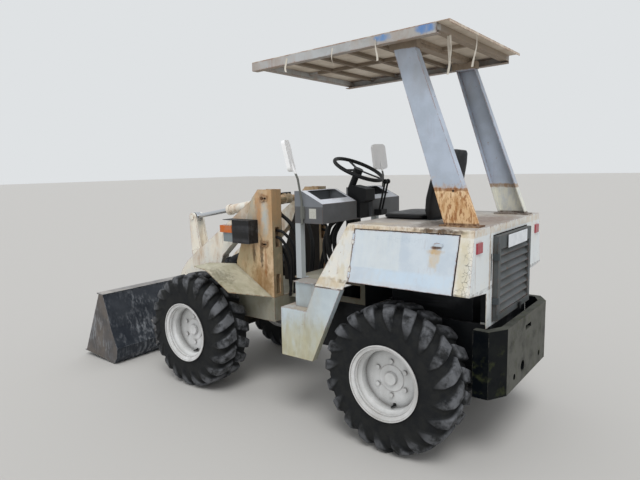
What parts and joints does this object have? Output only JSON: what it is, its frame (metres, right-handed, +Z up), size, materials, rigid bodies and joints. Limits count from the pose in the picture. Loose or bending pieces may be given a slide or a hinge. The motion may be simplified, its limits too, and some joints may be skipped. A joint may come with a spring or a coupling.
{
  "type": "compact articulated wheel loader",
  "caption": "Small articulated loader on broad tyres with a plain canopy, rear engine, tall loader tower and a front bucket on a cranked boom.",
  "frame": {"origin": "on the ground under the middle of the whole machine, bucket lowered and frames in line", "axes": "+X forward to the bucket, +Y to the machine's left, +Z up"},
  "size_m": [3.725, 1.466, 2.385],
  "materials": {
    "body_white": "faded white and pale blue-grey paint with rust at the seams",
    "frame_grey": "grey-green frame paint under dirt",
    "loader_cream": "weathered cream paint with rust streaks",
    "fender_cream": "pale greenish cream paint, dusty",
    "canopy_grey": "chalky blue-grey paint",
    "black_steel": "black paint, scuffed",
    "chassis_black": "near-black chassis paint under dirt",
    "dark_casting": "dark cast iron with a moss tinge",
    "grille_green": "dark green-grey paint",
    "axle_iron": "oily cast iron",
    "engine_iron": "dull engine paint",
    "rim_grey": "light warm grey paint, dirty",
    "tyre_rubber": "black tyre rubber with dust on its lugs",
    "chrome_rod": "hard chromed",
    "pin_steel": "worn steel",
    "bucket_steel": "black paint worn to steel at the edge",
    "seat_vinyl": "black vinyl",
    "black_plastic": "black plastic",
    "column_brown": "dark brown-grey plastic",
    "signal_orange": "orange lens",
    "lamp_glass": "clear lamp glass",
    "reflector_red": "red reflector",
    "mirror_white": "pale mirror shell"
  },
  "bodies": {
    "rear_frame": {"rear_chassis": "chassis_black", "rear_axle": "axle_iron", "engine_block": "engine_iron", "engine_cover": "body_white", "counterweight": "dark_casting", "reflectors": "reflector_red", "side_steps": "body_white", "step_box": "canopy_grey", "operator_floor": "frame_grey", "cowl": "canopy_grey", "steering_column": "column_brown", "control_levers": "black_plastic", "seat_base": "black_steel", "seat_cushion": "seat_vinyl", "seat_back": "seat_vinyl", "mirrors": "mirror_white", "canopy_posts": "canopy_grey", "canopy_frame": "canopy_grey", "canopy_roof": "body_white"},
    "front_half": {"front_frame": "frame_grey", "pivot_pin": "pin_steel", "front_axle": "axle_iron", "loader_tower": "loader_cream", "front_fenders": "fender_cream", "headlamp_boxes": "black_steel", "headlamps": "lamp_glass", "turn_signals": "signal_orange"},
    "wheel_rear_left": {"rim_rear_left": "rim_grey", "tyre_rear_left": "tyre_rubber"},
    "wheel_rear_right": {"rim_rear_right": "rim_grey", "tyre_rear_right": "tyre_rubber"},
    "wheel_front_left": {"rim_front_left": "rim_grey", "tyre_front_left": "tyre_rubber"},
    "wheel_front_right": {"rim_front_right": "rim_grey", "tyre_front_right": "tyre_rubber"},
    "boom": {"boom": "loader_cream"},
    "bucket": {"bucket": "bucket_steel"},
    "bellcrank": {"bellcrank": "loader_cream"},
    "bucket_link": {"bucket_link": "loader_cream"},
    "tilt_barrel": {"tilt_barrel": "black_steel"},
    "tilt_rod": {"tilt_rod": "chrome_rod"},
    "lift_barrels": {"lift_barrels": "black_steel"},
    "lift_rods": {"lift_rods": "chrome_rod"},
    "steer_barrel_left": {"steer_barrel_left": "black_steel"},
    "steer_rod_left": {"steer_rod_left": "chrome_rod"},
    "steer_barrel_right": {"steer_barrel_right": "black_steel"},
    "steer_rod_right": {"steer_rod_right": "chrome_rod"},
    "steering_wheel": {"steering_wheel": "black_plastic"},
    "side_door_left": {"side_door_left": "body_white"},
    "side_door_right": {"side_door_right": "body_white"},
    "rear_grille": {"rear_grille": "grille_green"}
  },
  "joints": [
    {"name": "articulation", "type": "hinge", "parent": "rear_frame", "child": "front_half", "pos_m": [-0.3965, 0, 0.435], "axis": [0, 0, 1], "range_deg": [-40, 40]},
    {"name": "wheel_rear_left_spin", "type": "hinge", "parent": "rear_frame", "child": "wheel_rear_left", "pos_m": [-1.2665, 0.54, 0.435], "axis": [0, 1, 0], "continuous": true},
    {"name": "wheel_rear_right_spin", "type": "hinge", "parent": "rear_frame", "child": "wheel_rear_right", "pos_m": [-1.2665, -0.54, 0.435], "axis": [0, 1, 0], "continuous": true},
    {"name": "wheel_front_left_spin", "type": "hinge", "parent": "front_half", "child": "wheel_front_left", "pos_m": [0.4735, 0.54, 0.435], "axis": [0, 1, 0], "continuous": true},
    {"name": "wheel_front_right_spin", "type": "hinge", "parent": "front_half", "child": "wheel_front_right", "pos_m": [0.4735, -0.54, 0.435], "axis": [0, 1, 0], "continuous": true},
    {"name": "boom_lift", "type": "hinge", "parent": "front_half", "child": "boom", "pos_m": [-0.0465, 0, 1.443], "axis": [0, -1, 0], "range_deg": [0, 70]},
    {"name": "bucket_tilt", "type": "hinge", "parent": "boom", "child": "bucket", "pos_m": [1.2535, 0, 0.195], "axis": [0, 1, 0], "range_deg": [-38, 95]},
    {"name": "bellcrank_turn", "type": "hinge", "parent": "boom", "child": "bellcrank", "pos_m": [1.0535, 0, 0.92], "axis": [0, 1, 0], "range_deg": [-15.79, 6.32]},
    {"name": "link_turn", "type": "hinge", "parent": "bellcrank", "child": "bucket_link", "pos_m": [0.8935, 0, 0.478], "axis": [0, 1, 0], "range_deg": [-1.6, 3.99]},
    {"name": "tilt_cylinder_turn", "type": "hinge", "parent": "front_half", "child": "tilt_barrel", "pos_m": [0.0035, 0, 1.425], "axis": [0, -1, 0], "range_deg": [0, 73.37]},
    {"name": "tilt_rod_slide", "type": "slide", "parent": "tilt_barrel", "child": "tilt_rod", "axis": [0.9855, 0, -0.1697], "range_m": [-0.088, 0.036]},
    {"name": "lift_cylinders_turn", "type": "hinge", "parent": "front_half", "child": "lift_barrels", "pos_m": [-0.0405, 0, 1.105], "axis": [0, -1, 0], "range_deg": [0, 69.55]},
    {"name": "lift_rods_slide", "type": "slide", "parent": "lift_barrels", "child": "lift_rods", "axis": [0.9168, 0, -0.3994], "range_m": [-0.001, 0.398]},
    {"name": "steer_cylinder_left_turn", "type": "hinge", "parent": "rear_frame", "child": "steer_barrel_left", "pos_m": [-0.8165, 0.18, 0.56], "axis": [0, 0, 1], "range_deg": [-11.26, 11.26]},
    {"name": "steer_rod_left_slide", "type": "slide", "parent": "steer_barrel_left", "child": "steer_rod_left", "axis": [0.9994, 0.0351, 0], "range_m": [-0.138, 0.138]},
    {"name": "steer_cylinder_right_turn", "type": "hinge", "parent": "rear_frame", "child": "steer_barrel_right", "pos_m": [-0.8165, -0.18, 0.56], "axis": [0, 0, 1], "range_deg": [-11.26, 11.26]},
    {"name": "steer_rod_right_slide", "type": "slide", "parent": "steer_barrel_right", "child": "steer_rod_right", "axis": [0.9994, -0.0351, 0], "range_m": [-0.138, 0.138]},
    {"name": "steering_wheel_turn", "type": "hinge", "parent": "rear_frame", "child": "steering_wheel", "pos_m": [-0.6715, 0, 1.64], "axis": [-0.4384, 0, 0.8988], "continuous": true},
    {"name": "side_door_left_swing", "type": "hinge", "parent": "rear_frame", "child": "side_door_left", "pos_m": [-1.0195, 0.58391, 1.293], "axis": [0.0542, 0.1813, -0.9819], "range_deg": [0, 100]},
    {"name": "side_door_right_swing", "type": "hinge", "parent": "rear_frame", "child": "side_door_right", "pos_m": [-1.0195, -0.58391, 1.293], "axis": [-0.0542, 0.1813, 0.9819], "range_deg": [0, 100]},
    {"name": "rear_grille_swing", "type": "hinge", "parent": "rear_frame", "child": "rear_grille", "pos_m": [-1.7765, 0.303, 1.025], "axis": [0, 0, -1], "range_deg": [0, 110]}
  ],
  "couplings": [
    {"joint": "bellcrank_turn", "follows": "bucket_tilt", "ratio": -0.16299},
    {"joint": "link_turn", "follows": "bucket_tilt", "ratio": 0.0412},
    {"joint": "tilt_cylinder_turn", "follows": "boom_lift", "ratio": 1.0276},
    {"joint": "tilt_rod_slide", "follows": "bucket_tilt", "m_per_rad": -0.051202},
    {"joint": "lift_cylinders_turn", "follows": "boom_lift", "ratio": 0.97405},
    {"joint": "lift_rods_slide", "follows": "boom_lift", "m_per_rad": 0.31871},
    {"joint": "steer_cylinder_left_turn", "follows": "articulation", "ratio": 0.27583},
    {"joint": "steer_rod_left_slide", "follows": "articulation", "m_per_rad": -0.19176},
    {"joint": "steer_cylinder_right_turn", "follows": "articulation", "ratio": 0.27583},
    {"joint": "steer_rod_right_slide", "follows": "articulation", "m_per_rad": 0.19176}
  ]
}
